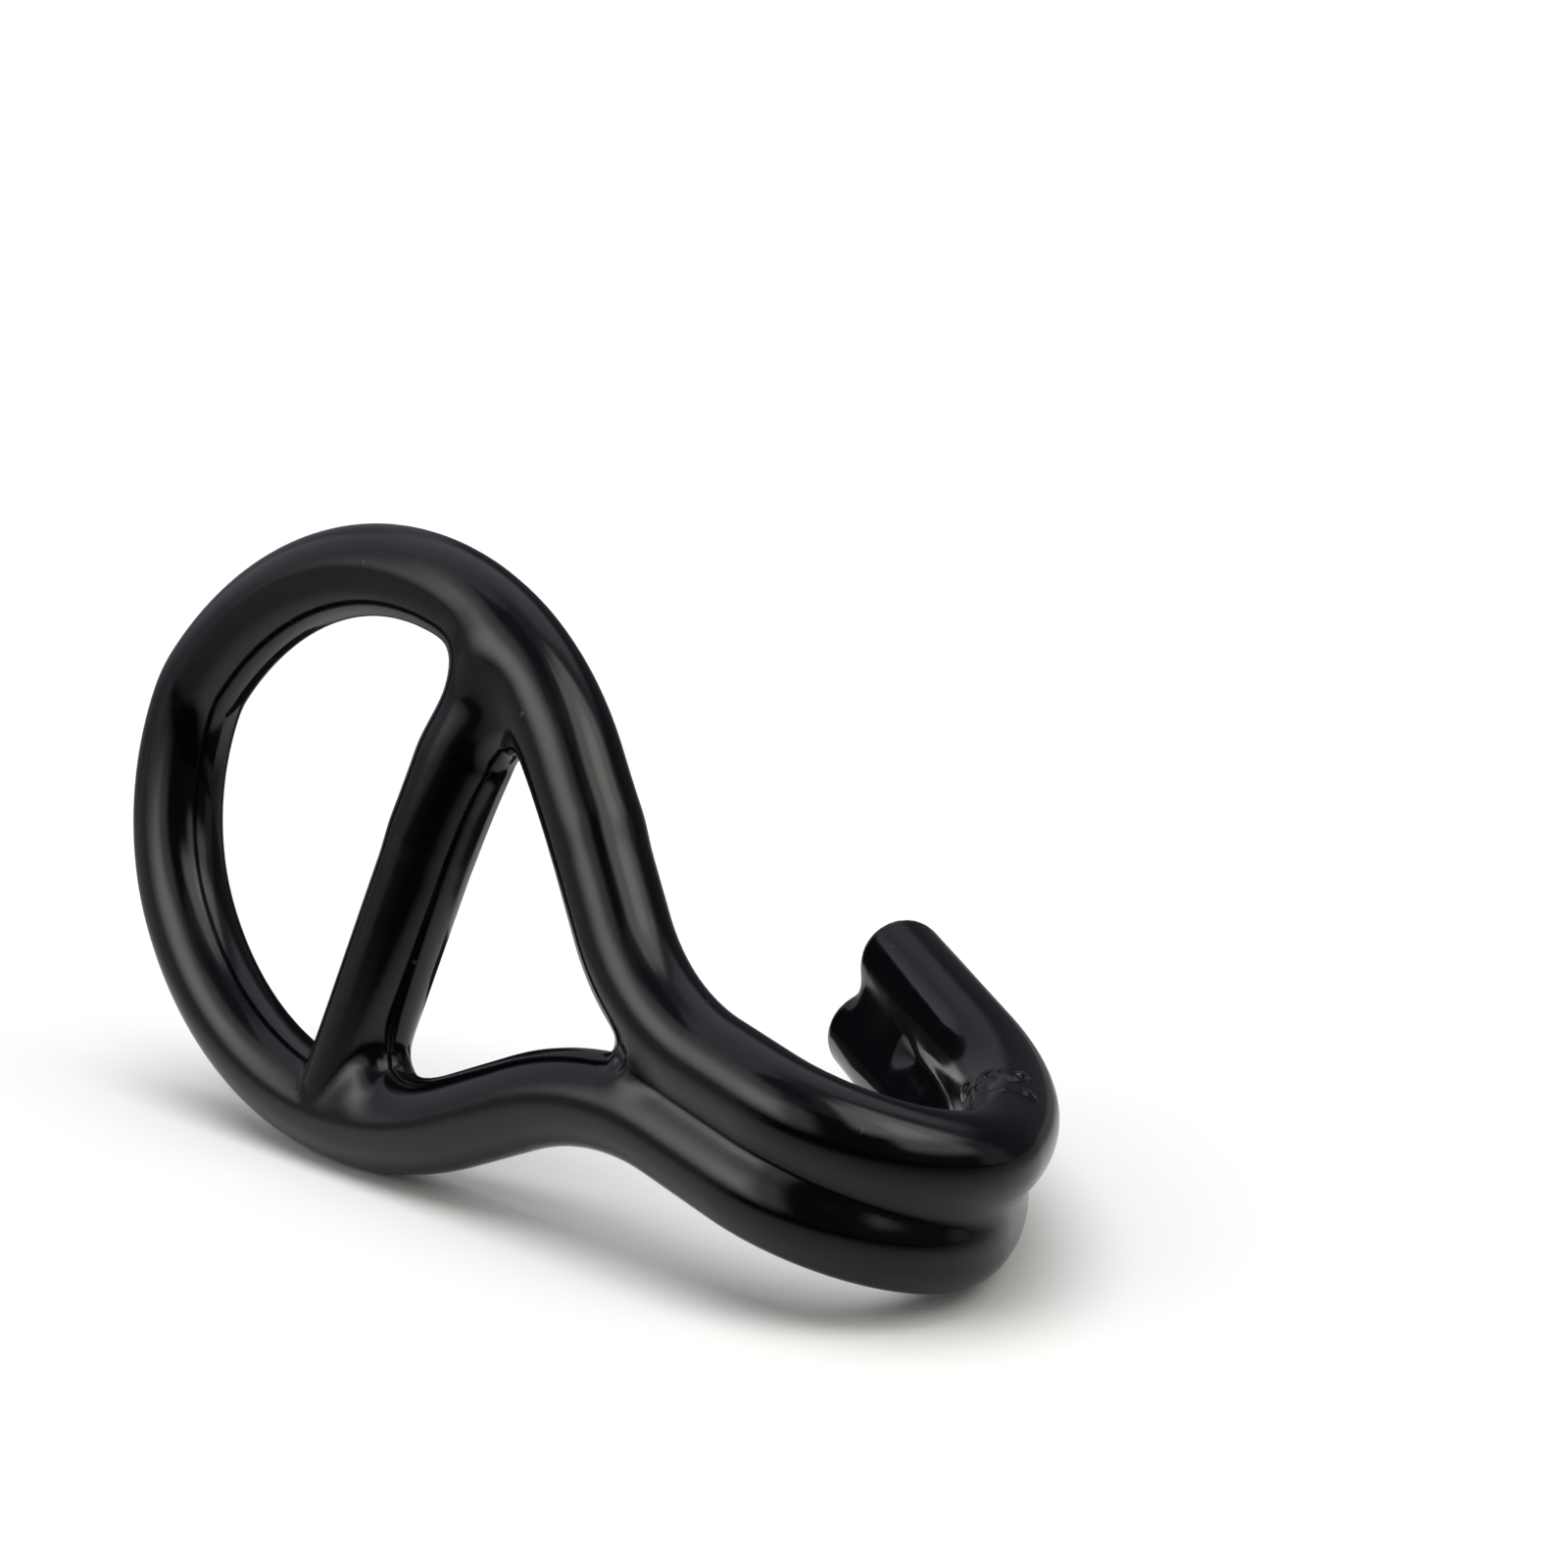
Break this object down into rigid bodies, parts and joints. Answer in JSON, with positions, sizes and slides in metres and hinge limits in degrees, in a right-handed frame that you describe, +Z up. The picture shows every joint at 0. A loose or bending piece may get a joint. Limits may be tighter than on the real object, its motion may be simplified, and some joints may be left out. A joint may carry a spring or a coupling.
{
  "type": "strap hook",
  "caption": "Vinyl-dipped bent-wire hook with a closed eye and a welded webbing bar, for the end of a tie-down strap.",
  "frame": {"origin": "on the resting plane, under the middle of the hook's box", "axes": "+Z up, with the hook standing on edge the way it really rests, on the lower side of the eye and on the lower strand of the J; +X along the shank from the eye toward the J; +Y toward the side the J curls to"},
  "size_m": [0.116, 0.0724, 0.0672],
  "materials": {
    "vinyl": "glossy black dipped vinyl (PVC plastisol)",
    "steel_rod": "plain drawn carbon-steel rod",
    "weld_metal": "as-welded steel"
  },
  "bodies": {
    "root": {"wire_form": "steel_rod", "webbing_bar": "steel_rod", "bar_weld_upper": "weld_metal", "bar_weld_lower": "weld_metal", "crotch_weld": "weld_metal", "tack_weld": "weld_metal", "vinyl_coating": "vinyl"}
  },
  "joints": []
}
